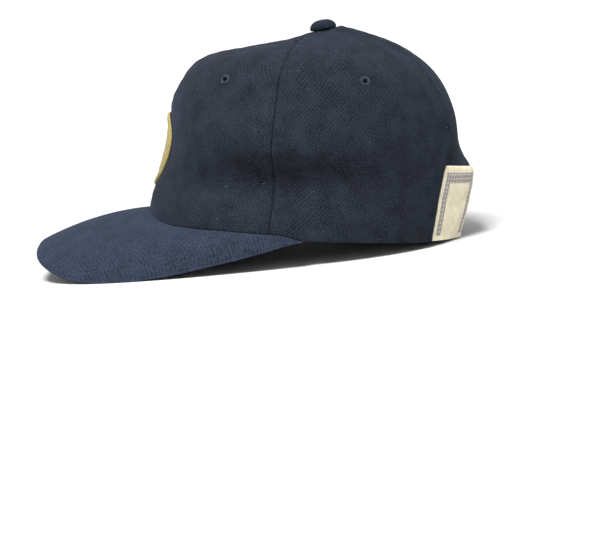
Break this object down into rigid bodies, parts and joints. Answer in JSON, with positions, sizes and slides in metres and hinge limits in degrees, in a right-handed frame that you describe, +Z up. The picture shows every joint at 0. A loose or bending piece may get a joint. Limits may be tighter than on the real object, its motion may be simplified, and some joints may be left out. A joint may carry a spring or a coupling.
{
  "type": "baseball cap",
  "caption": "Soft wool cap with a panelled crown, a long curved peak, a covered top button, sewn eyelets, a round front patch and a plain woven back label.",
  "frame": {"origin": "on the surface the cap rests on, under the middle of its outline", "axes": "-Y to the front of the peak, +X to the wearer's left, +Z up"},
  "size_m": [0.174, 0.2886, 0.1471],
  "materials": {
    "navy_wool": "matt wool twill",
    "peak_wool": "matt wool twill over a stiff board",
    "button_wool": "matt wool twill stretched over a button",
    "eyelet_thread": "satin buttonhole stitch",
    "gold_felt": "felt",
    "woven_label": "woven tape with a plain border"
  },
  "bodies": {
    "root": {"panel_front_left": "navy_wool", "panel_front_right": "navy_wool", "panel_side_left": "navy_wool", "panel_side_right": "navy_wool", "back_gusset": "navy_wool", "brim": "peak_wool", "top_button": "button_wool", "eyelet_front_left": "eyelet_thread", "eyelet_side_left": "eyelet_thread", "eyelet_front_right": "eyelet_thread", "eyelet_side_right": "eyelet_thread", "front_patch": "gold_felt", "back_label": "woven_label"}
  },
  "joints": []
}
